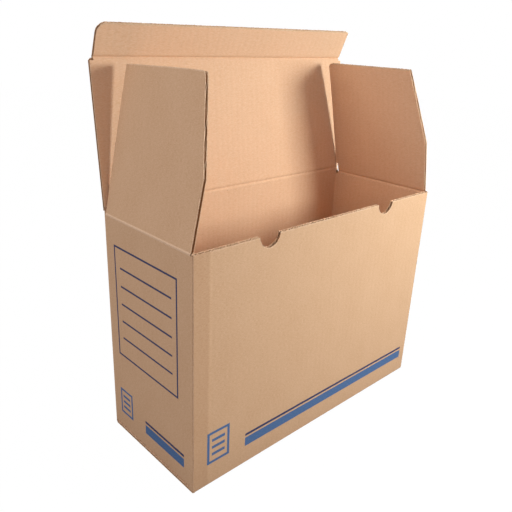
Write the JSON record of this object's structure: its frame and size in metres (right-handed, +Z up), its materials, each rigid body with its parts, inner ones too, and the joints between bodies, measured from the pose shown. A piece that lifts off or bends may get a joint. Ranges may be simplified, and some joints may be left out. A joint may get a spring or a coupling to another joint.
{
  "type": "archive storage box",
  "caption": "Tall narrow corrugated board box standing open: hinged lid with a tuck flap, two dust flaps, finger notches in the front and printed writing lines on one end.",
  "frame": {"origin": "centre of the box's footprint, on the underside", "axes": "+Z up, X along the long side with -X at the end that carries the writing lines, -Y out of the front panel, +Y towards the back panel that carries the lid"},
  "size_m": [0.365, 0.1627, 0.4373],
  "materials": {
    "kraft_board": "uncoated brown kraft liner over fluted medium, matt"
  },
  "bodies": {
    "carton": {"carton_body": "kraft_board"},
    "lid": {"lid": "kraft_board"},
    "tuck_flap": {"tuck_flap": "kraft_board"},
    "left_dust_flap": {"left_dust_flap": "kraft_board"},
    "right_dust_flap": {"right_dust_flap": "kraft_board"}
  },
  "joints": [
    {"name": "lid_hinge", "type": "hinge", "parent": "carton", "child": "lid", "pos_m": [0, 0.075, 0.2589], "axis": [-1, 0, 0], "range_deg": [-5, 167]},
    {"name": "tuck_hinge", "type": "hinge", "parent": "lid", "child": "tuck_flap", "pos_m": [0, 0.08772, 0.40434], "axis": [1, 0, 0], "range_deg": [-27, 63]},
    {"name": "left_dust_hinge", "type": "hinge", "parent": "carton", "child": "left_dust_flap", "pos_m": [-0.1825, 0, 0.255], "axis": [0, -1, 0], "range_deg": [-78, 184]},
    {"name": "right_dust_hinge", "type": "hinge", "parent": "carton", "child": "right_dust_flap", "pos_m": [0.1825, 0, 0.255], "axis": [0, 1, 0], "range_deg": [-78, 184]}
  ]
}
